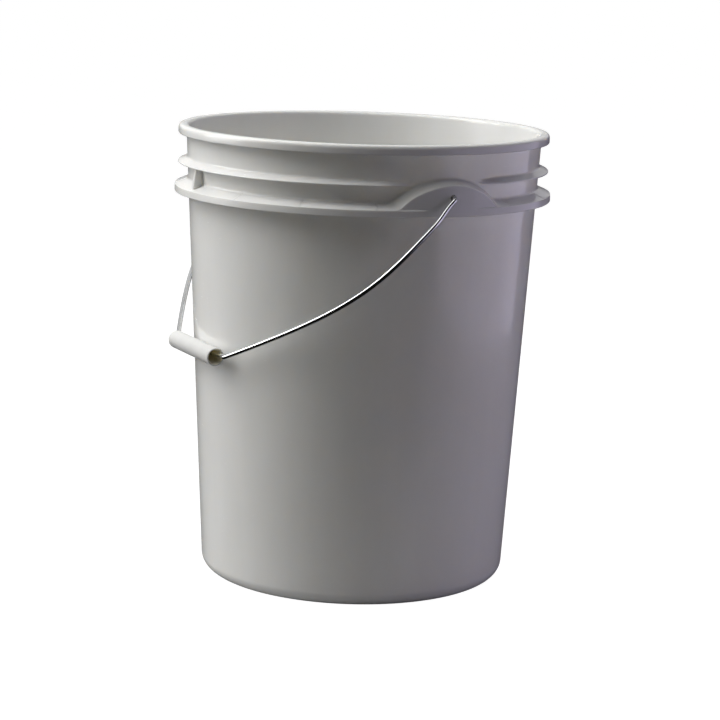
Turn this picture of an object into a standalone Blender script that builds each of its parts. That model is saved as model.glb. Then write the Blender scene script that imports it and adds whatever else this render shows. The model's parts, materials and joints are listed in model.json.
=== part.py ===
"""A 20 litre plastic fermenting pail with a swinging wire bail and a loose tubular grip.

Metres, +Z up. The origin is the centre of the base. The ears are on +X and -X. The bail
hangs on the -Y side, where its grip rests against the wall.
"""

import math

import bmesh
import bpy
from mathutils import Matrix
from mathutils.geometry import interpolate_bezier

TURN_STEPS = 72
CONE_SIDES = 96
GAP = 0.0004
SHARP_ANGLE = math.radians(30)

# Pail wall, floor and foot
PAIL_HEIGHT = 0.3698
WALL = 0.0023
WALL_SLOPE = 0.0522
CORNER_RADIUS = 0.016
RADIUS_AT_CORNER = 0.1265
INNER_CORNER_RADIUS = 0.013
FLOOR_TOP = 0.0040
FOOT_WIDTH = 0.0065
FOOT_HEIGHT = 0.0012
CORNER_STEPS = 5

# Rim: a rounded bead with a turned-down lip
RIM_RADIUS = 0.1512
RIM_CROWN_HEIGHT = 0.0045
RIM_STEPS = 8
LIP_DEPTH = 0.0075
LIP_THICKNESS = 0.0022
RIM_THICKNESS = 0.0030

# Skirt: the lower flange, hollow below
SKIRT_TOP_RADIUS = 0.1535
SKIRT_RADIUS = 0.1538
SKIRT_BOTTOM = 0.3153
SKIRT_EDGE = 0.3208
SKIRT_ROOT = 0.3253
SKIRT_THICKNESS = 0.0020
SKIRT_ROOF = 0.0025

# Upper flange: a thin ledge that runs out before it reaches the ears
FLANGE_RADIUS = 0.1512
FLANGE_BOTTOM = 0.3385
FLANGE_EDGE = 0.3397
FLANGE_ROOT = 0.3427
FLANGE_HALF_SPAN = 0.1407

# Stiffeners: a rib between the flanges on each side, gussets under the skirt
RIB_THICKNESS = 0.003
RIB_BOTTOM_RADIUS = 0.1510
RIB_TOP_RADIUS = 0.1490
GUSSET_THICKNESS = 0.0018
GUSSET_COUNT = 16
EMBED = 0.0008

# Ears: arched hollow bosses, each a cone along X cut by the skirt's cylinder
EAR_AXIS_HEIGHT = 0.291
EAR_ARCH_RADIUS = 0.0484
EAR_DRAFT = 0.4375
EAR_FACE_RADIUS = 0.1540
EAR_WALL = 0.0026
EAR_TOP_LIMIT = 0.350
EAR_REACH = 0.030
EAR_OVERSHOOT = 0.004
EAR_BOTTOM = SKIRT_BOTTOM + 0.0003
HOLE_RADIUS = 0.0025
PIVOT_HEIGHT = 0.3298

# Bail: half of its route lies in the plane of (across, drop) from the pivot
WIRE_RADIUS = 0.00185
BAIL_DROP = 0.1953
BAIL_HALF_STRAIGHT = 0.0475
BAIL_BEND_RADIUS = 0.010
BAIL_RISE_ANGLE = math.radians(35)
BAIL_HALF_WIDTH = 0.1625
BAIL_WIDEST_DROP = 0.0310
LOWER_HANDLE = 0.130
UPPER_HANDLE = 0.0665
NECK_EASE = 0.4
HOOK_ACROSS = 0.1575
HOOK_RADIUS = 0.0034
HEAD_RADIUS = 0.0031
HEAD_THICKNESS = 0.0014
WIRE_END_ACROSS = 0.1462
ARM_POINTS = 22
NECK_POINTS = 7
BEND_POINTS = 5

# Grip: an open tube that hangs from the wire
GRIP_LENGTH = 0.081
GRIP_RADIUS = 0.0073
GRIP_BORE_RADIUS = 0.0050
GRIP_OFFSET = -0.0050
GRIP_EDGE = 0.0004
GRIP_STEPS = 40
GRIP_WIRE_GAP = 0.0004

# The line below the pivot on which the grip's axis lies, and how often its angle is refined
ANGLE_ROUNDS = 20
GRIP_DROP = BAIL_DROP + GRIP_BORE_RADIUS - WIRE_RADIUS - GRIP_WIRE_GAP


def wall_radius(height):
    """The radius of the pail's tapered outer wall."""
    return RADIUS_AT_CORNER + WALL_SLOPE * (height - CORNER_RADIUS)


def resting_angle():
    """The bail's angle from straight down when the grip rests against the wall."""
    angle = math.pi / 4
    for _ in range(ANGLE_ROUNDS):
        height = PIVOT_HEIGHT - GRIP_DROP * math.cos(angle)
        angle = math.asin((wall_radius(height) + GRIP_RADIUS + GAP) / GRIP_DROP)
    return angle


def arc(centre, radius, start, end, steps):
    """Points on an arc in a profile's plane, its two ends included. Angles in degrees."""
    points = []
    for i in range(steps + 1):
        angle = math.radians(start + (end - start) * i / steps)
        x = centre[0] + radius[0] * math.cos(angle)
        points.append((x, centre[1] + radius[1] * math.sin(angle)))
    return points


def corner(radius, floor, inset):
    """The arc from the wall, moved in by inset, down to a floor at the given height."""
    lean = math.atan(WALL_SLOPE)
    centre_height = floor + radius
    touch_height = centre_height - radius * math.sin(lean)
    touch_radius = wall_radius(touch_height) - inset
    centre = (touch_radius - radius * math.cos(lean), centre_height)
    return arc(centre, (radius, radius), -math.degrees(lean), -90, CORNER_STEPS)


def rim_profile():
    """The bead from the inner wall over the crown to the wall under the lip."""
    inner = wall_radius(PAIL_HEIGHT) - WALL
    half_width = (RIM_RADIUS - inner) / 2
    crown_base = PAIL_HEIGHT - RIM_CROWN_HEIGHT
    lip_bottom = PAIL_HEIGHT - LIP_DEPTH
    groove_top = PAIL_HEIGHT - RIM_THICKNESS
    bead = arc((inner + half_width, crown_base), (half_width, RIM_CROWN_HEIGHT), 180, 0, RIM_STEPS)
    return bead + [
        (RIM_RADIUS, lip_bottom),
        (RIM_RADIUS - LIP_THICKNESS, lip_bottom),
        (RIM_RADIUS - LIP_THICKNESS, groove_top),
        (wall_radius(groove_top), groove_top),
    ]


def skirt_profile():
    """The lower flange from its root on the wall to the wall inside its hollow."""
    inner_edge = SKIRT_EDGE - SKIRT_ROOF / 2
    inner_root = SKIRT_ROOT - SKIRT_ROOF
    return [
        (wall_radius(SKIRT_ROOT), SKIRT_ROOT),
        (SKIRT_TOP_RADIUS, SKIRT_EDGE),
        (SKIRT_RADIUS, SKIRT_BOTTOM),
        (SKIRT_RADIUS - SKIRT_THICKNESS, SKIRT_BOTTOM),
        (SKIRT_TOP_RADIUS - SKIRT_THICKNESS, inner_edge),
        (wall_radius(inner_root), inner_root),
    ]


def pail_profile():
    """The whole section, from the floor's centre, up inside, over the rim and down outside."""
    inner_corner = corner(INNER_CORNER_RADIUS, FLOOR_TOP, WALL)
    outer_corner = corner(CORNER_RADIUS, 0, 0)
    foot_outer = outer_corner[-1][0]
    foot_inner = foot_outer - FOOT_WIDTH
    return (
        [(0, FLOOR_TOP)]
        + inner_corner[::-1]
        + rim_profile()
        + skirt_profile()
        + outer_corner
        + [(foot_inner, 0), (foot_inner - FOOT_HEIGHT, FOOT_HEIGHT), (0, FOOT_HEIGHT)]
    )


def clear_scene():
    for obj in list(bpy.data.objects):
        bpy.data.objects.remove(obj, do_unlink=True)
    for collection in list(bpy.data.collections):
        bpy.data.collections.remove(collection)


def new_collection(name, hidden=False):
    collection = bpy.data.collections.new(name)
    bpy.context.scene.collection.children.link(collection)
    collection.hide_render = hidden
    return collection


def new_material(name, colour, roughness, metallic=0.0):
    material = bpy.data.materials.new(name)
    material.use_nodes = True
    shader = material.node_tree.nodes["Principled BSDF"]
    shader.inputs["Base Color"].default_value = (*colour, 1)
    shader.inputs["Roughness"].default_value = roughness
    shader.inputs["Metallic"].default_value = metallic
    return material


def new_object(name, mesh, collection):
    obj = bpy.data.objects.new(name, mesh)
    collection.objects.link(obj)
    return obj


def mesh_of(name, bm):
    """The finished mesh, shaded smooth except over its sharp edges."""
    mesh = bpy.data.meshes.new(name)
    bm.to_mesh(mesh)
    bm.free()
    mesh.shade_smooth()
    mesh.set_sharp_from_angle(angle=SHARP_ANGLE)
    return mesh


def turned(name, profile, steps, collection, closed=False, axis="Z"):
    """A solid of revolution: the profile's (radius, height) points with a Screw modifier."""
    bm = bmesh.new()
    if axis == "Z":
        verts = [bm.verts.new((radius, 0, height)) for radius, height in profile]
    else:
        verts = [bm.verts.new((height, 0, radius)) for radius, height in profile]
    pairs = list(zip(verts, verts[1:]))
    if closed:
        pairs.append((verts[-1], verts[0]))
    for pair in pairs:
        bm.edges.new(pair)
    obj = new_object(name, mesh_of(name, bm), collection)
    screw = obj.modifiers.new("turn", "SCREW")
    screw.axis = axis
    screw.steps = steps
    screw.render_steps = steps
    screw.use_merge_vertices = True
    screw.merge_threshold = 1e-6
    return obj


def cone_along_x(name, start, end, start_radius, end_radius, height, collection):
    """A closed cone or cylinder from x = start to x = end at the given height."""
    bm = bmesh.new()
    place = Matrix.Translation(((start + end) / 2, 0, height)) @ Matrix.Rotation(math.pi / 2, 4, "Y")
    bmesh.ops.create_cone(
        bm, cap_ends=True, segments=CONE_SIDES, radius1=start_radius, radius2=end_radius,
        depth=end - start, matrix=place,
    )
    return new_object(name, mesh_of(name, bm), collection)


def add_plate(bm, outline, thickness, degrees):
    """A plate on a radial plane: its outline of (radius, height) points, given thickness."""
    face = bm.faces.new([bm.verts.new((x, -thickness / 2, z)) for x, z in outline])
    made = bmesh.ops.extrude_face_region(bm, geom=[face])
    new_verts = [item for item in made["geom"] if isinstance(item, bmesh.types.BMVert)]
    bmesh.ops.translate(bm, vec=(0, thickness, 0), verts=new_verts)
    turn = Matrix.Rotation(math.radians(degrees), 3, "Z")
    bmesh.ops.rotate(bm, matrix=turn, verts=new_verts + list(face.verts))


def boolean(obj, operand, operation):
    modifier = obj.modifiers.new(f"{operation.lower()}_{operand.name}", "BOOLEAN")
    modifier.operation = operation
    modifier.object = operand
    modifier.solver = "EXACT"


def split_sharp_edges(obj):
    """Keeps a smooth-shaded solid's sharp edges crisp."""
    split = obj.modifiers.new("sharp_edges", "EDGE_SPLIT")
    split.split_angle = SHARP_ANGLE


def mirror_x(obj):
    mirror = obj.modifiers.new("other_side", "MIRROR")
    mirror.merge_threshold = 1e-6


def shell_ring(name, inset, radius, bottom, top, cutters):
    """A ring from the pail's wall, moved in by inset, out to a radius."""
    profile = [
        (wall_radius(bottom) - inset, bottom),
        (wall_radius(top) - inset, top),
        (radius, top),
        (radius, bottom),
    ]
    return turned(name, profile, TURN_STEPS, cutters, closed=True)


def ear_cone(name, shrink, cutters):
    """The arched shape of both ears, smaller by shrink, before the rings trim it."""
    start = SKIRT_RADIUS - EAR_REACH
    end = SKIRT_RADIUS + EAR_OVERSHOOT
    start_radius = EAR_ARCH_RADIUS - shrink + EAR_REACH * EAR_DRAFT
    end_radius = EAR_ARCH_RADIUS - shrink - EAR_OVERSHOOT * EAR_DRAFT
    cone = cone_along_x(name, start, end, start_radius, end_radius, EAR_AXIS_HEIGHT, cutters)
    mirror_x(cone)
    return cone


def make_ear_blanks(cutters):
    ring = shell_ring("ear_bounds", WALL / 2, EAR_FACE_RADIUS, EAR_BOTTOM, EAR_TOP_LIMIT, cutters)
    blanks = ear_cone("ear_blanks", 0, cutters)
    boolean(blanks, ring, "INTERSECT")
    return blanks


def make_ear_pockets(cutters):
    face = EAR_FACE_RADIUS - EAR_WALL
    ring = shell_ring("pocket_bounds", -GAP, face, SKIRT_BOTTOM - EAR_WALL, EAR_TOP_LIMIT, cutters)
    pockets = ear_cone("ear_pockets", EAR_WALL, cutters)
    boolean(pockets, ring, "INTERSECT")
    return pockets


def make_wire_holes(cutters):
    start = EAR_FACE_RADIUS - 2 * EAR_WALL
    end = EAR_FACE_RADIUS + EAR_WALL
    holes = cone_along_x("wire_holes", start, end, HOLE_RADIUS, HOLE_RADIUS, PIVOT_HEIGHT, cutters)
    mirror_x(holes)
    return holes


def make_upper_flange(cutters):
    """The ledge's ring, cut off flat on both ear sides so that it runs out in crescents."""
    profile = [
        (wall_radius(FLANGE_BOTTOM) - WALL / 2, FLANGE_BOTTOM),
        (wall_radius(FLANGE_ROOT) - WALL / 2, FLANGE_ROOT),
        (wall_radius(FLANGE_ROOT), FLANGE_ROOT),
        (FLANGE_RADIUS, FLANGE_EDGE),
        (FLANGE_RADIUS, FLANGE_BOTTOM),
    ]
    flange = turned("upper_flange", profile, TURN_STEPS, cutters, closed=True)
    bm = bmesh.new()
    bmesh.ops.create_cube(bm, size=1)
    size = (2 * FLANGE_HALF_SPAN, 3 * FLANGE_RADIUS, 3 * LIP_DEPTH)
    bmesh.ops.scale(bm, vec=size, verts=bm.verts)
    bmesh.ops.translate(bm, vec=(0, 0, FLANGE_EDGE), verts=bm.verts)
    span = new_object("flange_span", mesh_of("flange_span", bm), cutters)
    boolean(flange, span, "INTERSECT")
    return flange


def skirt_top(radius):
    """The height of the skirt's sloping top at a radius."""
    root_radius = wall_radius(SKIRT_ROOT)
    share = (SKIRT_TOP_RADIUS - radius) / (SKIRT_TOP_RADIUS - root_radius)
    return SKIRT_EDGE + share * (SKIRT_ROOT - SKIRT_EDGE)


def make_ribs(cutters):
    """One upright rib between the flanges on -Y and one on +Y."""
    inner = wall_radius(SKIRT_ROOT) - EMBED
    outline = [
        (inner, skirt_top(inner) - EMBED),
        (RIB_BOTTOM_RADIUS, skirt_top(RIB_BOTTOM_RADIUS) - EMBED),
        (RIB_TOP_RADIUS, FLANGE_BOTTOM + EMBED),
        (inner, FLANGE_BOTTOM + EMBED),
    ]
    bm = bmesh.new()
    for degrees in (90, 270):
        add_plate(bm, outline, RIB_THICKNESS, degrees)
    bmesh.ops.recalc_face_normals(bm, faces=bm.faces)
    return new_object("ribs", mesh_of("ribs", bm), cutters)


def make_gussets(cutters):
    """Plates that brace the skirt from inside, all round except behind the ears."""
    inner = wall_radius(SKIRT_BOTTOM) - EMBED
    outer = SKIRT_TOP_RADIUS - SKIRT_THICKNESS + EMBED
    outline = [
        (inner, SKIRT_BOTTOM + EMBED),
        (outer, SKIRT_BOTTOM + EMBED),
        (outer, skirt_top(outer) - EMBED),
        (inner, skirt_top(inner) - SKIRT_ROOF / 2),
    ]
    bm = bmesh.new()
    for i in range(GUSSET_COUNT):
        if i % (GUSSET_COUNT // 2):
            add_plate(bm, outline, GUSSET_THICKNESS, 360 * i / GUSSET_COUNT)
    bmesh.ops.recalc_face_normals(bm, faces=bm.faces)
    return new_object("gussets", mesh_of("gussets", bm), cutters)


def make_pail(parts, cutters):
    pail = turned("pail", pail_profile(), TURN_STEPS, parts)
    for addition in (make_upper_flange, make_ribs, make_gussets, make_ear_blanks):
        boolean(pail, addition(cutters), "UNION")
    for cutter in (make_ear_pockets, make_wire_holes):
        boolean(pail, cutter(cutters), "DIFFERENCE")
    split_sharp_edges(pail)
    pail.data.materials.append(new_material("natural_hdpe", (0.78, 0.78, 0.76), 0.35))
    return pail


def bezier(start, start_handle, end_handle, end, points):
    curve = interpolate_bezier(*((x, z, 0) for x, z in (start, start_handle, end_handle, end)), points)
    return [(point.x, point.y) for point in curve]


def half_route():
    """(across, drop) points from the wire's middle to the bend at its hook's start."""
    run = BAIL_BEND_RADIUS * math.tan(BAIL_RISE_ANGLE / 2)
    straight_end = BAIL_HALF_STRAIGHT - run
    degrees = math.degrees(BAIL_RISE_ANGLE)
    centre = (straight_end, BAIL_DROP - BAIL_BEND_RADIUS)
    bend = arc(centre, (BAIL_BEND_RADIUS, BAIL_BEND_RADIUS), 90, 90 - degrees, BEND_POINTS)
    low = bend[-1]
    rise = (math.cos(BAIL_RISE_ANGLE), math.sin(BAIL_RISE_ANGLE))
    low_handle = (low[0] + LOWER_HANDLE * rise[0], low[1] - LOWER_HANDLE * rise[1])
    widest = (BAIL_HALF_WIDTH, BAIL_WIDEST_DROP)
    arm = bezier(low, low_handle, (BAIL_HALF_WIDTH, BAIL_WIDEST_DROP + UPPER_HANDLE), widest, ARM_POINTS)
    hook = (HOOK_ACROSS, HOOK_RADIUS)
    ease = (BAIL_WIDEST_DROP - HOOK_RADIUS) * NECK_EASE
    neck = bezier(widest, (BAIL_HALF_WIDTH, widest[1] - ease), (hook[0], hook[1] + ease), hook, NECK_POINTS)
    return bend + arm[1:] + neck[1:]


def end_route():
    """(across, drop, thickness factor) points from the hook through the ear to the head."""
    centre = (HOOK_ACROSS - HOOK_RADIUS, HOOK_RADIUS)
    hook = arc(centre, (HOOK_RADIUS, HOOK_RADIUS), 0, -90, BEND_POINTS)
    factor = HEAD_RADIUS / WIRE_RADIUS
    shoulder = WIRE_END_ACROSS + HEAD_THICKNESS
    points = [(across, drop, 1) for across, drop in hook[1:]]
    points += [(shoulder + EMBED, 0, 1), (shoulder, 0, factor), (WIRE_END_ACROSS, 0, factor)]
    return points


def make_bail(parts, pivot):
    """The wire, hanging straight down from its pivot in its own frame."""
    half = [(across, drop, 1) for across, drop in half_route()] + end_route()
    route = [(-across, drop, factor) for across, drop, factor in reversed(half)] + half
    curve = bpy.data.curves.new("bail_route", "CURVE")
    curve.dimensions = "3D"
    curve.bevel_depth = WIRE_RADIUS
    curve.bevel_resolution = 2
    curve.use_fill_caps = True
    spline = curve.splines.new("POLY")
    spline.points.add(len(route) - 1)
    for point, (across, drop, factor) in zip(spline.points, route):
        point.co = (across, 0, -drop, 1)
        point.radius = factor
    curve.materials.append(new_material("zinc_plated_steel", (0.62, 0.63, 0.64), 0.25, 1.0))
    bail = new_object("bail_wire", curve, parts)
    bail.parent = pivot
    return bail


def make_grip(parts, pivot):
    """The tube, turned about its own axis, which is also the axis that it spins on."""
    half = GRIP_LENGTH / 2
    inset = half - GRIP_EDGE
    profile = [
        (GRIP_BORE_RADIUS, -half),
        (GRIP_BORE_RADIUS, half),
        (GRIP_RADIUS - GRIP_EDGE, half),
        (GRIP_RADIUS, inset),
        (GRIP_RADIUS, -inset),
        (GRIP_RADIUS - GRIP_EDGE, -half),
    ]
    grip = turned("grip", profile, GRIP_STEPS, parts, closed=True, axis="X")
    split_sharp_edges(grip)
    grip.data.materials.append(new_material("grip_plastic", (0.85, 0.85, 0.84), 0.4))
    grip.parent = pivot
    grip.location = (GRIP_OFFSET, 0, -GRIP_DROP)
    return grip


def main():
    clear_scene()
    parts = new_collection("fermenting_pail")
    cutters = new_collection("cutters", hidden=True)
    make_pail(parts, cutters)
    pivot = new_object("bail_pivot", None, parts)
    pivot.location = (0, 0, PIVOT_HEIGHT)
    pivot.rotation_euler = (-resting_angle(), 0, 0)
    make_bail(parts, pivot)
    make_grip(parts, pivot)
    for cutter in cutters.objects:
        cutter.hide_render = True
        cutter.display_type = "WIRE"


main()
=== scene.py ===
"""The looks of the fermenting pail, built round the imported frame.

Row frame, metres: the ears are on +X and -X, the bail hangs on -Y, +Z is up.
"""

import json
import math

import bmesh
import bpy
import numpy as np
from mathutils import Matrix, Vector
from mathutils.geometry import interpolate_bezier


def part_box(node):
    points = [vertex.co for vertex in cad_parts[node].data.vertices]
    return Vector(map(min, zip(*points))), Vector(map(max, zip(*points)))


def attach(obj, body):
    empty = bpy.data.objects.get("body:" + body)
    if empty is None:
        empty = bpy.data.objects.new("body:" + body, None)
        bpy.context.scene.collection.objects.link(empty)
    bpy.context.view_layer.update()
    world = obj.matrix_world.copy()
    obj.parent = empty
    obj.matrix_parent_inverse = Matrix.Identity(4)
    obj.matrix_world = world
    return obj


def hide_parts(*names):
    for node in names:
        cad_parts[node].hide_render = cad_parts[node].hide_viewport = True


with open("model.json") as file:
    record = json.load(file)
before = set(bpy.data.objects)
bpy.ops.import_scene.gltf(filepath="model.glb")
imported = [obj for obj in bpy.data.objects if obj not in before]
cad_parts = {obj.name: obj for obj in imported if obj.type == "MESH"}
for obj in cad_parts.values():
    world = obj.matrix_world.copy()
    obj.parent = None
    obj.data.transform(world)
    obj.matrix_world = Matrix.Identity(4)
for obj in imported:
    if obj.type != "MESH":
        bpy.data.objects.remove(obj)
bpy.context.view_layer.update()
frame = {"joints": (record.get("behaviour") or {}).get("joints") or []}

# Camera: azimuths are measured from +X, where the near ear is
CAMERA_AZIMUTH = math.radians(-27.0)
CAMERA_DISTANCE = 1.858
CAMERA_HEIGHT = 0.5389
CAMERA_PITCH = math.radians(11.06)
CAMERA_YAW = -0.0013
CAMERA_ROLL = 0.0314
CAMERA_LENS = 113.7
SENSOR_WIDTH = 36
CAMERA_CLIP_START = 0.05

# Wall, floor and foot
CORNER_RADIUS = 0.016
RADIUS_AT_CORNER = 0.1265
WALL_SLOPE = 0.0522
WALL = 0.0023
FLOOR_TOP = 0.0040
INNER_CORNER_RADIUS = 0.013
FOOT_WIDTH = 0.0065
RECESS = 0.0012
GATE_RADIUS = 0.0030
INNER_FLOOR_RADIUS = 0.1235

# Rim
RIM_RADIUS = 0.1512
RIM_CROWN_HEIGHT = 0.0045
# Below 1 the crown is squarer than half an ellipse
RIM_ROUNDNESS = 0.70
RIM_STEPS = 24
LIP_DEPTH = 0.0075
LIP_THICKNESS = 0.0022
RIM_THICKNESS = 0.0030

# Upper ledge and lower skirt
LEDGE_RADIUS = 0.1511
# The ledge runs out on a plane this far from the middle, beside each ear
LEDGE_HALF_SPAN = 0.1407
LEDGE_ROOT = 0.3427
LEDGE_EDGE = 0.3397
LEDGE_BOTTOM = 0.3385
LEDGE_ABOVE_EAR = 0.0028
SKIRT_TOP_RADIUS = 0.1535
SKIRT_RADIUS = 0.1537
SKIRT_ROOT = 0.3253
SKIRT_EDGE = 0.3208
SKIRT_BOTTOM = 0.3153
SKIRT_THICKNESS = 0.0020
SKIRT_ROOF = 0.0025
# Sixteen even places less the two that the ears take, in degrees
GUSSET_ANGLES = tuple(22.5 * i for i in range(16) if i % 8)
GUSSET_HALF_ANGLE = 0.34
GUSSET_ABOVE_BOTTOM = 0.0008
SINK_DEPTH = 0.0003
RIB_ANGLES = (90, 270)
RIB_HALF_ANGLE = 0.585
RIB_TOP_RADIUS = 0.1488
RIB_BOTTOM_RADIUS = 0.1508

# Ears
EAR_AXIS_HEIGHT = 0.291
EAR_ARCH_RADIUS = 0.0484
# How much the arch grows for each metre inwards
EAR_DRAFT = 0.4375
EAR_WALL = 0.0026
EAR_BLEND = 0.0022
FACE_RECESS = 0.0011
# Degrees from the ear's axis over which its face steps in and back out
RECESS_START = (6.5, 12.5)
RECESS_END = (15.0, 17.5)
# Degrees from the ear's axis over which its thicker wall gives way to the skirt's
EAR_WALL_END = (15, 18)
HOLE_RADIUS = 0.0025
HOLE_CHAMFER = 0.0005
HOLE_CHAMFER_START = 0.1531
# Where the hole's cutter starts and ends, from the middle
HOLE_CUT = (0.1480, 0.1560)

# Wire and grip. Drops are measured down the bail from its pivot axis
WIRE_RADIUS = 0.00184
BAIL_HALF_STRAIGHT = 0.0475
BAIL_BEND_RADIUS = 0.010
BAIL_RISE_ANGLE = math.radians(35)
BAIL_HALF_WIDTH = 0.1625
BAIL_WIDEST_DROP = 0.0310
LOWER_HANDLE = 0.130
UPPER_HANDLE = 0.0665
HOOK_ACROSS = 0.1575
HOOK_RADIUS = 0.0034
HEAD_RADIUS = 0.0031
HEAD_THICKNESS = 0.0014
WIRE_END_ACROSS = 0.1462
# The upset head: (distance from the wire's end, radius)
WIRE_HEAD = (
    (HEAD_THICKNESS + 0.0009, WIRE_RADIUS),
    (HEAD_THICKNESS + 0.0003, WIRE_RADIUS + 0.0004),
    (HEAD_THICKNESS, HEAD_RADIUS - 0.0003),
    (HEAD_THICKNESS - 0.0003, HEAD_RADIUS),
    (0.0005, HEAD_RADIUS - 0.0001),
    (0.0001, HEAD_RADIUS - 0.0008),
    (0.0, HEAD_RADIUS - 0.0016),
)
GRIP_BORE_RADIUS = 0.0050
GRIP_WIRE_GAP = 0.0004
GRIP_LIP = 0.0006
GRIP_MOUTH_RADIUS = 0.0062
GRIP_MOUTH_DEPTH = 0.0040
GRIP_MOUTH_EDGE = 0.0003

# Meshing: the pail's columns, in degrees
COLUMN_STEP = 1.0
EAR_COLUMN_STEP = 0.375
EAR_COLUMNS_END = 19
CLOSEST_COLUMNS = 0.02
# A gusset or rib fades out between its half angle and this many times that
PLATEAU_EDGE = 1.15
# The share of an edge that one fillet may take
FILLET_SHARE = 0.48
MERGE_DISTANCE = 1e-5
HOLE_SIDES = 40
WIRE_SIDES = 20
GRIP_SIDES = 64

# Material colours
HDPE = (0.845, 0.845, 0.83, 1)
HDPE_FLOW_MARK = (0.875, 0.875, 0.865, 1)
HDPE_MOTTLE = (0.855, 0.85, 0.83, 1)
HDPE_SCUFF = (0.90, 0.90, 0.89, 1)
ZINC = (0.80, 0.81, 0.82, 1)
ZINC_DULLED = (0.66, 0.67, 0.68, 1)
TUBE = (0.77, 0.77, 0.76, 1)
TUBE_CLOUD = (0.72, 0.72, 0.705, 1)
# Painted light: the bore is painted lighter and warmer than the tube, standing in for the light that
# reaches inside it
PAINTED_LIT_BORE = (0.93, 0.885, 0.78, 1)


def wall_radius(height):
    return RADIUS_AT_CORNER + WALL_SLOPE * (height - CORNER_RADIUS)


def smoothstep(low, high, value):
    t = np.clip((value - low) / (high - low), 0, 1)
    return t * t * (3 - 2 * t)


def smooth_max(a, b, blend):
    return 0.5 * (a + b + np.sqrt((a - b) ** 2 + blend**2))


def from_ear(degrees):
    """The angle, in degrees, from the nearer ear's axis."""
    return np.abs((degrees + 90) % 180 - 90)


def column_angles():
    """Where the pail's columns stand, in degrees: closer at the ears, ribs and gussets."""
    marks = [np.arange(0, 360, COLUMN_STEP)]
    across_ear = np.arange(-EAR_COLUMNS_END, EAR_COLUMNS_END, EAR_COLUMN_STEP)
    for ear in (0, 180):
        marks.append(ear + across_ear)
    across_gusset = np.array((-PLATEAU_EDGE, -1, 0, 1, PLATEAU_EDGE))
    for gusset in GUSSET_ANGLES:
        marks.append(gusset + GUSSET_HALF_ANGLE * across_gusset)
    across_rib = np.array((-1.35, -1.1, -1, -0.85, 0, 0.85, 1, 1.1, 1.35))
    for rib in RIB_ANGLES:
        marks.append(rib + RIB_HALF_ANGLE * across_rib)
    angles = np.sort(np.concatenate(marks) % 360)
    keep = np.append(True, np.diff(angles) > CLOSEST_COLUMNS)
    return angles[keep]


def plateau(degrees, centres, half):
    """1 within the half angle of a centre, falling to 0 just outside it."""
    value = np.zeros_like(degrees)
    for centre in centres:
        away = np.abs((degrees - centre + 180) % 360 - 180)
        value = np.maximum(value, 1 - smoothstep(half, half * PLATEAU_EDGE, away))
    return value


def ear_top(radius, degrees, shrink=0.0):
    """The height of the ear's conical roof at a radius, or the ear's axis height beside it."""
    turn = np.radians(from_ear(degrees))
    x, y = radius * np.cos(turn), radius * np.sin(turn)
    arch = EAR_ARCH_RADIUS - shrink + (SKIRT_RADIUS - x) * EAR_DRAFT
    return EAR_AXIS_HEIGHT + np.sqrt(np.maximum(arch**2 - y**2, 0))


def skirt_top(radius):
    root = wall_radius(SKIRT_ROOT)
    share = (SKIRT_TOP_RADIUS - radius) / (SKIRT_TOP_RADIUS - root)
    return SKIRT_EDGE + share * (SKIRT_ROOT - SKIRT_EDGE)


def roof(radius, degrees):
    """The upper surface of the skirt and the ears together."""
    return smooth_max(skirt_top(radius), ear_top(radius, degrees), EAR_BLEND)


def ceiling(radius, degrees, filled):
    """The underside of the hollow skirt and ears. A gusset fills it down to the skirt's bottom."""
    under_skirt = skirt_top(radius) - SKIRT_ROOF
    under_ear = ear_top(radius, degrees, EAR_WALL) - EAR_WALL
    hollow = smooth_max(under_skirt, under_ear, EAR_BLEND)
    return hollow + filled * (SKIRT_BOTTOM + GUSSET_ABOVE_BOTTOM - hollow)


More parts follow.
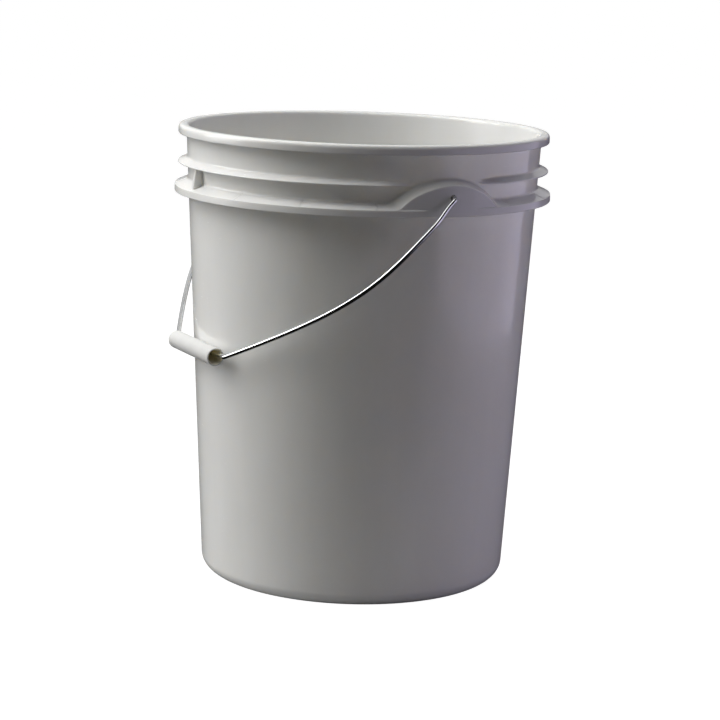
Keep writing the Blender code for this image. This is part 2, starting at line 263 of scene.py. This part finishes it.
def pail_chain(degrees):
    """The pail's section at every column: a list of (radius, height, fillet, arc points).

    It runs from the floor's middle, up the inside, over the rim, down the outside and back
    to the underside's middle.
    """
    chain = []

    def add(radius, height, fillet=0.0, points=1):
        chain.append((radius + 0 * degrees, height + 0 * degrees, fillet, points))

    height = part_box("pail")[1].z
    off = from_ear(degrees)
    rib = plateau(degrees, RIB_ANGLES, RIB_HALF_ANGLE)
    filled = plateau(degrees, GUSSET_ANGLES, GUSSET_HALF_ANGLE)

    # Inside
    for share in (0, 0.15, 0.4, 0.7):
        add(share * INNER_FLOOR_RADIUS, FLOOR_TOP)
    add(wall_radius(FLOOR_TOP) - WALL, FLOOR_TOP, fillet=INNER_CORNER_RADIUS, points=10)
    crown_base = height - RIM_CROWN_HEIGHT
    for share in (0.15, 0.3, 0.45, 0.6, 0.75, 0.9):
        add(wall_radius(share * crown_base) - WALL, share * crown_base)

    # Rim
    inner = wall_radius(height) - WALL
    half = (RIM_RADIUS - inner) / 2
    for step in range(RIM_STEPS + 1):
        turn = math.pi * (1 - step / RIM_STEPS)
        across = math.copysign(abs(math.cos(turn)) ** RIM_ROUNDNESS, math.cos(turn))
        rise = abs(math.sin(turn)) ** RIM_ROUNDNESS
        add(inner + half + half * across, crown_base + RIM_CROWN_HEIGHT * rise)
    lip_bottom, lip_top = height - LIP_DEPTH, height - RIM_THICKNESS
    add(RIM_RADIUS, lip_bottom, fillet=0.0008, points=5)
    add(RIM_RADIUS - LIP_THICKNESS, lip_bottom, fillet=0.0008, points=5)
    add(RIM_RADIUS - LIP_THICKNESS, lip_top, fillet=0.0008, points=4)
    add(wall_radius(lip_top), lip_top, fillet=0.0014, points=5)

    # Ledge, which lifts with the ear's roof where it has run out
    reach = np.minimum(LEDGE_RADIUS, LEDGE_HALF_SPAN / np.maximum(np.cos(np.radians(off)), 0.5))
    root_roof = roof(wall_radius(LEDGE_EDGE), degrees)
    lift = np.maximum(0, root_roof + LEDGE_ABOVE_EAR - LEDGE_BOTTOM)
    top, edge, bottom = LEDGE_ROOT + lift, LEDGE_EDGE + lift, LEDGE_BOTTOM + lift
    add(wall_radius(top), top, fillet=0.0022, points=7)
    add(np.maximum(reach, wall_radius(edge)), edge, fillet=0.0007, points=5)
    add(np.maximum(reach, wall_radius(bottom)), bottom, fillet=0.0005, points=4)
    under = wall_radius(bottom)
    add(under + rib * (RIB_TOP_RADIUS - under), bottom, fillet=0.0010, points=5)

    # Skirt top or ear roof
    recess = FACE_RECESS * smoothstep(*RECESS_START, off) * (1 - smoothstep(*RECESS_END, off))
    face = SKIRT_TOP_RADIUS - recess
    root = wall_radius(roof(wall_radius(SKIRT_ROOT), degrees))
    root = root + rib * (RIB_BOTTOM_RADIUS - root)
    sink = SINK_DEPTH * filled
    add(root, roof(root, degrees) - sink, fillet=0.0026, points=9)
    for share in (0.3, 0.45, 0.6, 0.75, 0.88):
        radius = root + share * (face - root)
        add(radius, roof(radius, degrees) - sink)
    add(face, roof(face, degrees), fillet=0.0011, points=7)
    add(face, skirt_top(face), fillet=0.0006, points=4)
    add(SKIRT_TOP_RADIUS, SKIRT_EDGE, fillet=0.0008, points=5)
    add(SKIRT_RADIUS, SKIRT_BOTTOM, fillet=0.0006, points=5)

    # Hollow underneath
    behind_ear = 1 - smoothstep(*EAR_WALL_END, off)
    inside = SKIRT_RADIUS - SKIRT_THICKNESS - (EAR_WALL - SKIRT_THICKNESS) * behind_ear
    add(inside, SKIRT_BOTTOM, fillet=0.0005, points=4)
    add(inside, ceiling(inside, degrees, filled), fillet=0.0008, points=4)
    end = wall_radius(ceiling(wall_radius(SKIRT_ROOT), degrees, filled))
    for share in (0.3, 0.5, 0.7):
        radius = inside + share * (end - inside)
        add(radius, ceiling(radius, degrees, filled))
    add(end, ceiling(end, degrees, filled), fillet=0.0010, points=4)

    # Outer wall, foot ring and recessed underside
    for share in (0.995, 0.95, 0.75, 0.55, 0.35, 0.15):
        add(wall_radius(share * SKIRT_BOTTOM), share * SKIRT_BOTTOM)
    add(wall_radius(0), 0, fillet=CORNER_RADIUS, points=12)
    foot = wall_radius(0) - CORNER_RADIUS - FOOT_WIDTH
    add(foot, 0, fillet=0.0004, points=3)
    add(foot - RECESS, RECESS, fillet=0.0006, points=3)
    for share in (0.75, 0.5, 0.25):
        add(share * foot, RECESS)
    add(GATE_RADIUS * 1.3, RECESS, fillet=0.0003, points=3)
    add(GATE_RADIUS, RECESS * 0.5, fillet=0.0003, points=3)
    add(0, RECESS * 0.5)
    return chain


def filleted(chain):
    """Rows of (radius, height) per column, with every corner turned into its true arc."""
    rows = []
    for i, (radius, height, fillet, points) in enumerate(chain):
        here = np.stack([radius, height])
        if not fillet:
            rows.append(here)
            continue
        before = np.stack(chain[i - 1][:2]) - here
        after = np.stack(chain[i + 1][:2]) - here
        length_before = np.maximum(np.linalg.norm(before, axis=0), 1e-9)
        length_after = np.maximum(np.linalg.norm(after, axis=0), 1e-9)
        before, after = before / length_before, after / length_after
        cosine = np.clip((before * after).sum(0), -1, 1)
        half_angle = np.maximum(np.arccos(cosine) / 2, 1e-3)
        reach = fillet / np.tan(half_angle)
        reach = np.minimum(reach, FILLET_SHARE * np.minimum(length_before, length_after))
        weight = np.sin(half_angle)
        start, end = here + reach * before, here + reach * after
        for t in np.linspace(0, 1, points):
            a, b, c = (1 - t) ** 2, 2 * weight * t * (1 - t), t * t
            rows.append((a * start + b * here + c * end) / (a + b + c))
    return rows


def new_object(name, mesh):
    obj = bpy.data.objects.new(name, mesh)
    bpy.context.scene.collection.objects.link(obj)
    return obj


def finish_mesh(name, vertices, faces):
    """A smooth-shaded object from grid data, with coincident vertices merged."""
    mesh = bpy.data.meshes.new(name)
    mesh.from_pydata([tuple(v) for v in vertices], [], faces)
    bm = bmesh.new()
    bm.from_mesh(mesh)
    bmesh.ops.remove_doubles(bm, verts=bm.verts, dist=MERGE_DISTANCE)
    bmesh.ops.recalc_face_normals(bm, faces=bm.faces)
    bm.to_mesh(mesh)
    bm.free()
    mesh.shade_smooth()
    return new_object(name, mesh)


def grid_faces(rows, columns, closed_rows=False):
    """Quads between rows of points whose columns close into a ring."""
    faces = []
    for i in range(rows if closed_rows else rows - 1):
        low, high = i * columns, (i + 1) % rows * columns
        for j in range(columns):
            k = (j + 1) % columns
            faces.append((low + j, low + k, high + k, high + j))
    return faces


def cut(obj, cutter):
    """Applies an exact Boolean difference and removes the cutter."""
    modifier = obj.modifiers.new("cut", "BOOLEAN")
    modifier.operation = "DIFFERENCE"
    modifier.solver = "EXACT"
    modifier.object = cutter
    bpy.context.view_layer.update()
    graph = bpy.context.evaluated_depsgraph_get()
    mesh = bpy.data.meshes.new_from_object(obj.evaluated_get(graph))
    obj.modifiers.clear()
    obj.data = mesh
    bpy.data.objects.remove(cutter)


def turned_mesh(name, profile, sides, place):
    """A closed profile of (radius, along) points turned about its own axis, then placed."""
    turns = np.arange(sides) * 2 * math.pi / sides
    vertices = [
        place @ Vector((along, radius * math.cos(turn), radius * math.sin(turn)))
        for radius, along in profile
        for turn in turns
    ]
    return finish_mesh(name, vertices, grid_faces(len(profile), sides, closed_rows=True))


def make_pail():
    """The moulding, with a chamfered hole through each ear on the bail's axis."""
    degrees = column_angles()
    rows = filleted(pail_chain(degrees))
    turns = np.radians(degrees)
    vertices = []
    for radius, height in rows:
        vertices.extend(zip(radius * np.cos(turns), radius * np.sin(turns), height))
    pail = finish_mesh("pail_moulding", vertices, grid_faces(len(rows), len(degrees)))
    pivot_height = frame["joints"][0]["pos_m"][2]
    start, end = HOLE_CUT
    flare = HOLE_RADIUS + HOLE_CHAMFER
    profile = [(0.0, start), (HOLE_RADIUS, start), (HOLE_RADIUS, HOLE_CHAMFER_START)]
    profile += [(flare, SKIRT_RADIUS), (flare, end), (0.0, end)]
    for facing in (0, math.pi):
        place = Matrix.Translation((0, 0, pivot_height)) @ Matrix.Rotation(facing, 4, "Z")
        cut(pail, turned_mesh("hole", profile, HOLE_SIDES, place))
    return pail


def arc(centre, radius, start, end, steps):
    """Points on a circle from one angle to another, in degrees."""
    turns = [math.radians(start + (end - start) * i / steps) for i in range(steps + 1)]
    return [(centre[0] + radius * math.cos(t), centre[1] + radius * math.sin(t)) for t in turns]


def bezier(start, start_handle, end_handle, end, points):
    curve = interpolate_bezier(*((x, z, 0) for x, z in (start, start_handle, end_handle, end)), points)
    return [(point.x, point.y) for point in curve]


def half_route(drop):
    """(across, low) points from the wire's middle to the end of its hook in the ear's hole."""
    run = BAIL_BEND_RADIUS * math.tan(BAIL_RISE_ANGLE / 2)
    straight_end = BAIL_HALF_STRAIGHT - run
    rise = (math.cos(BAIL_RISE_ANGLE), math.sin(BAIL_RISE_ANGLE))
    bend_centre = (straight_end, drop - BAIL_BEND_RADIUS)
    bend = arc(bend_centre, BAIL_BEND_RADIUS, 90, 90 - math.degrees(BAIL_RISE_ANGLE), steps=12)
    low = bend[-1]
    low_handle = (low[0] + LOWER_HANDLE * rise[0], low[1] - LOWER_HANDLE * rise[1])
    widest = (BAIL_HALF_WIDTH, BAIL_WIDEST_DROP)
    high_handle = (BAIL_HALF_WIDTH, BAIL_WIDEST_DROP + UPPER_HANDLE)
    arm = bezier(low, low_handle, high_handle, widest, points=90)
    # Handles two fifths of the drop long, for an even bend into the hook
    ease = (BAIL_WIDEST_DROP - HOOK_RADIUS) / 2.5
    hook_start = (HOOK_ACROSS, HOOK_RADIUS)
    leave = (BAIL_HALF_WIDTH, BAIL_WIDEST_DROP - ease)
    meet = (HOOK_ACROSS, HOOK_RADIUS + ease)
    neck = bezier(widest, leave, meet, hook_start, points=24)
    hook = arc((HOOK_ACROSS - HOOK_RADIUS, HOOK_RADIUS), HOOK_RADIUS, 0, -90, steps=14)
    middle = [(straight_end * i / 8, drop) for i in range(8)]
    return middle + bend + arm[1:] + neck[1:] + hook[1:]


def make_wire(pivot, down, sides=WIRE_SIDES):
    """The wire, swept along its route in the plane that holds the pivot axis and down."""
    lowest = (grip_centre() - pivot).length
    drop = lowest - GRIP_BORE_RADIUS + WIRE_RADIUS + GRIP_WIRE_GAP
    half = [(across, low, WIRE_RADIUS) for across, low in half_route(drop)]
    half += [(WIRE_END_ACROSS + from_end, 0.0, radius) for from_end, radius in WIRE_HEAD]
    route = [(-across, low, radius) for across, low, radius in half[:0:-1]] + half
    points = np.array([(across, low) for across, low, _ in route])
    along = np.gradient(points, axis=0)
    along /= np.linalg.norm(along, axis=1)[:, None]
    side = Vector((1, 0, 0))
    flat = side.cross(down)
    vertices = []
    for (across, low, radius), (ahead, fall) in zip(route, along):
        centre = pivot + side * across + down * low
        in_plane = side * -fall + down * ahead
        for i in range(sides):
            turn = 2 * math.pi * i / sides
            vertices.append(centre + radius * (in_plane * math.cos(turn) + flat * math.sin(turn)))
    faces = grid_faces(len(route), sides)
    faces.append(tuple(range(sides)))
    faces.append(tuple(range((len(route) - 1) * sides, len(route) * sides)))
    return finish_mesh("bail_drawn_wire", vertices, faces)


def grip_centre():
    """The middle of the grip's axis, from its hinge."""
    return Vector((0, *frame["joints"][1]["pos_m"][1:]))


def make_grip():
    """A tube with rounded ends whose bore flares at both mouths."""
    low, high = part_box("grip")
    outer = (high.z - low.z) / 2
    left, right = low.x, high.x

    def rounded(radius_sign, along_sign, fillet, radius, along):
        """Seven points round a corner whose surfaces face the two signs."""
        centre = (radius - radius_sign * fillet, along - along_sign * fillet)
        turns = np.linspace(0, math.pi / 2, 7)
        return [
            (
                centre[0] + radius_sign * fillet * math.sin(turn),
                centre[1] + along_sign * fillet * math.cos(turn),
            )
            for turn in turns
        ]

    length = right - left
    profile = rounded(1, 1, GRIP_LIP, outer, right)
    profile += [(outer, left + length * share) for share in (0.75, 0.5, 0.25)]
    profile += rounded(1, -1, GRIP_LIP, outer, left)[::-1]
    profile += rounded(-1, -1, GRIP_MOUTH_EDGE, GRIP_MOUTH_RADIUS, left)
    profile.append((GRIP_BORE_RADIUS, left + GRIP_MOUTH_DEPTH))
    profile += [(GRIP_BORE_RADIUS, left + length * share) for share in (0.25, 0.5, 0.75)]
    profile.append((GRIP_BORE_RADIUS, right - GRIP_MOUTH_DEPTH))
    profile += rounded(-1, 1, GRIP_MOUTH_EDGE, GRIP_MOUTH_RADIUS, right)[::-1]
    centre = grip_centre()
    place = Matrix.Translation((0, centre.y, centre.z))
    return turned_mesh("grip_tube", profile, GRIP_SIDES, place)


class Nodes:
    """A short way to write a material's node tree."""

    def __init__(self, name):
        self.material = bpy.data.materials.new(name)
        self.material.use_nodes = True
        self.tree = self.material.node_tree
        self.shader = self.tree.nodes["Principled BSDF"]

    def add(self, kind, values=None, **settings):
        node = self.tree.nodes.new(kind)
        for key, value in settings.items():
            setattr(node, key, value)
        for key, value in (values or {}).items():
            self.link(value, node.inputs[key])
        return node

    def link(self, value, socket):
        if isinstance(value, bpy.types.NodeSocket):
            self.tree.links.new(value, socket)
        else:
            socket.default_value = value

    def noise(self, where, scale, detail=3.0, rough=0.55):
        values = {"Vector": where, "Scale": scale, "Detail": detail, "Roughness": rough}
        return self.add("ShaderNodeTexNoise", values).outputs["Fac"]

    def stretch(self, where, scale):
        return self.add("ShaderNodeMapping", {"Vector": where, "Scale": scale}).outputs["Vector"]

    def ramp(self, value, low, high, start=0.0, end=1.0):
        """The value moved from start..end to low..high."""
        values = {"Value": value, "From Min": start, "From Max": end, "To Min": low, "To Max": high}
        return self.add("ShaderNodeMapRange", values).outputs["Result"]

    def maths(self, operation, a, b=0.0):
        return self.add("ShaderNodeMath", {0: a, 1: b}, operation=operation).outputs["Value"]

    def vector(self, operation, a, b=(0, 0, 0)):
        return self.add("ShaderNodeVectorMath", {0: a, 1: b}, operation=operation)

    def mix(self, share, a, b):
        node = self.add("ShaderNodeMix", data_type="RGBA")
        self.link(share, node.inputs["Factor"])
        self.link(a, node.inputs["A"])
        self.link(b, node.inputs["B"])
        return node.outputs["Result"]

    def bump(self, height, strength, distance, under=None):
        values = {"Height": height, "Strength": strength, "Distance": distance}
        if under:
            values["Normal"] = under
        return self.add("ShaderNodeBump", values).outputs["Normal"]

    def set(self, **values):
        for key, value in values.items():
            self.link(value, self.shader.inputs[key.replace("_", " ")])


def pail_material():
    """Natural HDPE, which lets light through: faint flow marks, mottling, orange peel, scuffs."""
    n = Nodes("natural_hdpe_moulded")
    where = n.add("ShaderNodeTexCoord").outputs["Object"]
    flow = n.noise(n.stretch(where, (9, 9, 1.6)), scale=3.0, detail=4.0)
    mottle = n.noise(where, scale=14.0, detail=3.0)
    fine = n.noise(where, scale=260.0, detail=2.0)
    scratches = n.noise(n.stretch(where, (60, 60, 420)), scale=2.2, detail=2.0, rough=0.7)
    base = n.mix(n.ramp(flow, 0, 1, start=0.35, end=0.68), HDPE, HDPE_FLOW_MARK)
    base = n.mix(n.ramp(mottle, 0, 0.5, start=0.45, end=0.75), base, HDPE_MOTTLE)
    scuff = n.ramp(scratches, 0, 1, start=0.66, end=0.74)
    base = n.mix(n.maths("MULTIPLY", scuff, 0.25), base, HDPE_SCUFF)
    rough = n.ramp(mottle, 0.13, 0.20, start=0.3, end=0.7)
    rough = n.maths("ADD", rough, n.maths("MULTIPLY", scuff, 0.12))
    peel = n.bump(fine, strength=0.10, distance=0.0004)
    waves = n.noise(n.stretch(where, (3, 3, 2)), scale=4.0, detail=2.0)
    sway = n.bump(waves, strength=0.25, distance=0.003, under=peel)
    n.set(Base_Color=base, Roughness=rough, Normal=sway, IOR=1.5)
    n.set(Subsurface_Weight=1.0, Subsurface_Radius=(1.0, 0.96, 0.9), Subsurface_Scale=0.0020)
    return n.material


def wire_material():
    """Bright zinc on drawn wire: a fine grain and slight dulling in clouds."""
    n = Nodes("zinc_drawn_wire")
    where = n.add("ShaderNodeTexCoord").outputs["Object"]
    cloud = n.noise(where, scale=45.0, detail=4.0)
    grain = n.noise(where, scale=1400.0, detail=2.0)
    tone = n.mix(n.ramp(cloud, 0, 1, start=0.35, end=0.7), ZINC, ZINC_DULLED)
    rough = n.ramp(cloud, 0.14, 0.24, start=0.3, end=0.75)
    n.set(Base_Color=tone, Metallic=1.0, Roughness=rough)
    n.set(Normal=n.bump(grain, strength=0.12, distance=0.0001))
    return n.material


def grip_material():
    """White extruded tube with faint lines along it; its bore is painted a lighter, warm brown as
    painted light, standing in for the light that reaches inside it.
    """
    n = Nodes("white_extruded_tube")
    where = n.add("ShaderNodeTexCoord").outputs["Object"]
    lines = n.noise(n.stretch(where, (6, 900, 900)), scale=1.0, detail=2.0)
    cloud = n.noise(where, scale=60.0, detail=3.0)
    outside = n.mix(n.ramp(cloud, 0, 1, start=0.35, end=0.7), TUBE, TUBE_CLOUD)
    local = n.vector("SUBTRACT", where, grip_centre()).outputs["Vector"]
    flat = n.vector("MULTIPLY", local, (0, 1, 1)).outputs["Vector"]
    away = n.vector("LENGTH", flat).outputs["Value"]
    # Painted light: 1 within the mouth's radius, where the bore is painted the lighter warm brown
    inside = n.ramp(away, 1, 0, GRIP_MOUTH_RADIUS, GRIP_MOUTH_RADIUS + 0.0002)
    n.set(Base_Color=n.mix(inside, outside, PAINTED_LIT_BORE))
    n.set(Roughness=n.ramp(cloud, 0.32, 0.45, start=0.3, end=0.7))
    n.set(Normal=n.bump(lines, strength=0.15, distance=0.0002))
    n.set(Subsurface_Weight=1.0, Subsurface_Radius=(1.0, 0.98, 0.92), Subsurface_Scale=0.0018)
    return n.material


def camera():
    """The only camera, at the viewing angle that the scene is composed for."""
    data = bpy.data.cameras.new("camera")
    data.lens = CAMERA_LENS
    data.sensor_width = SENSOR_WIDTH
    data.clip_start = CAMERA_CLIP_START
    obj = new_object("camera", data)
    along_x, along_y = math.cos(CAMERA_AZIMUTH), math.sin(CAMERA_AZIMUTH)
    obj.location = (CAMERA_DISTANCE * along_x, CAMERA_DISTANCE * along_y, CAMERA_HEIGHT)
    turn = Matrix.Rotation(CAMERA_AZIMUTH + math.pi / 2 + CAMERA_YAW, 3, "Z")
    tilt = Matrix.Rotation(math.pi / 2 - CAMERA_PITCH, 3, "X")
    roll = Matrix.Rotation(CAMERA_ROLL, 3, "Z")
    obj.rotation_euler = (turn @ tilt @ roll).to_euler()
    bpy.context.scene.camera = obj


def area_light(name, round_camera, elevation, distance, width, height, power, colour):
    """A softbox that faces the pail's middle from a direction given in degrees."""
    data = bpy.data.lights.new(name, "AREA")
    data.shape = "RECTANGLE"
    data.size = width
    data.size_y = height
    data.energy = power
    data.color = colour
    obj = new_object(name, data)
    turn = CAMERA_AZIMUTH + math.radians(round_camera)
    rise = math.radians(elevation)
    flat = math.cos(rise)
    direction = Vector((math.cos(turn) * flat, math.sin(turn) * flat, math.sin(rise)))
    obj.location = Vector((0, 0, LIGHT_TARGET_HEIGHT)) + direction * distance
    obj.rotation_euler = direction.to_track_quat("Z", "Y").to_euler()


# Name, degrees round from the camera, elevation, distance, width, height, power, colour
LIGHTS = (
    ("key_softbox", -93, 31, 1.5, 0.9, 1.8, 21.5, (1.0, 0.995, 0.985)),
    ("front_softbox", -70, 62, 1.5, 1.3, 1.3, 8.5, (1.0, 1.0, 0.98)),
    ("side_panel", 88, 6, 0.75, 1.2, 0.5, 1.7, (0.83, 0.76, 1.0)),
    ("back_softbox", 180, 42, 1.5, 2.6, 2.0, 10, (1.0, 1.0, 1.0)),
    ("top_softbox", 0, 89, 1.5, 1.2, 1.2, 2, (1.0, 1.0, 1.0)),
)
LIGHT_TARGET_HEIGHT = 0.2
# The room's even light
AMBIENT = 0.005
AMBIENT_COLOUR = (1.0, 0.95, 0.88)
# The floor as the camera sees it, and the share of light that it throws back on the pail,
# which fades outwards as at the edges of a pale table
FLOOR_GLOW = 1.0
FLOOR_GREY = 0.40
FLOOR_GREY_OUTSIDE = 0.05
TABLE_FADE_START = 0.15
TABLE_FADE_END = 0.70
FLOOR_GAP = 0.0002
FLOOR_RADIUS = 80


def studio():
    """A white world and floor to the camera, softboxes in a dim room to everything else."""
    scene = bpy.context.scene
    scene.view_settings.view_transform = "Standard"
    world = bpy.data.worlds.new("studio_white")
    scene.world = world
    world.use_nodes = True
    tree = world.node_tree
    nodes, links = tree.nodes, tree.links
    soft = nodes["Background"]
    soft.inputs["Color"].default_value = (*AMBIENT_COLOUR, 1)
    soft.inputs["Strength"].default_value = AMBIENT
    white = nodes.new("ShaderNodeBackground")
    white.inputs["Color"].default_value = (1, 1, 1, 1)
    path = nodes.new("ShaderNodeLightPath")
    mix = nodes.new("ShaderNodeMixShader")
    links.new(path.outputs["Is Camera Ray"], mix.inputs[0])
    links.new(soft.outputs[0], mix.inputs[1])
    links.new(white.outputs[0], mix.inputs[2])
    links.new(mix.outputs[0], nodes["World Output"].inputs["Surface"])
    for light in LIGHTS:
        area_light(*light)

    bm = bmesh.new()
    bmesh.ops.create_circle(bm, cap_ends=True, segments=96, radius=FLOOR_RADIUS)
    mesh = bpy.data.meshes.new("floor")
    bm.to_mesh(mesh)
    bm.free()
    floor = new_object("floor", mesh)
    floor.location.z = -FLOOR_GAP
    n = Nodes("pale_floor")
    n.set(Base_Color=(0.12, 0.12, 0.12, 1), Roughness=0.9)
    n.set(Emission_Color=(1, 1, 1, 1), Emission_Strength=FLOOR_GLOW)
    where = n.add("ShaderNodeTexCoord").outputs["Object"]
    away = n.vector("LENGTH", where).outputs["Value"]
    share = n.ramp(away, FLOOR_GREY, FLOOR_GREY_OUTSIDE, TABLE_FADE_START, TABLE_FADE_END)
    grey = n.add("ShaderNodeBsdfDiffuse", {"Color": share})
    seen = n.add("ShaderNodeLightPath").outputs["Is Camera Ray"]
    either = n.add("ShaderNodeMixShader", {0: seen, 1: grey.outputs[0], 2: n.shader.outputs[0]})
    n.link(either.outputs[0], n.tree.nodes["Material Output"].inputs["Surface"])
    floor.data.materials.append(n.material)
    floor.visible_glossy = False


def main():
    camera()
    pivot = Vector((0, *frame["joints"][0]["pos_m"][1:]))
    down = (grip_centre() - pivot).normalized()
    for piece, node, body, slot, material in (
        (make_pail(), "pail", "pail", "pail_plastic", pail_material()),
        (make_wire(pivot, down), "bail_wire", "bail", "bail_steel", wire_material()),
        (make_grip(), "grip", "grip", "grip_plastic", grip_material()),
    ):
        piece.data.materials.clear()
        piece.data.materials.append(material)
        piece.modifiers.new("weighted_normals", "WEIGHTED_NORMAL")
        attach(piece, body)
        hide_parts(node)
    studio()


main()
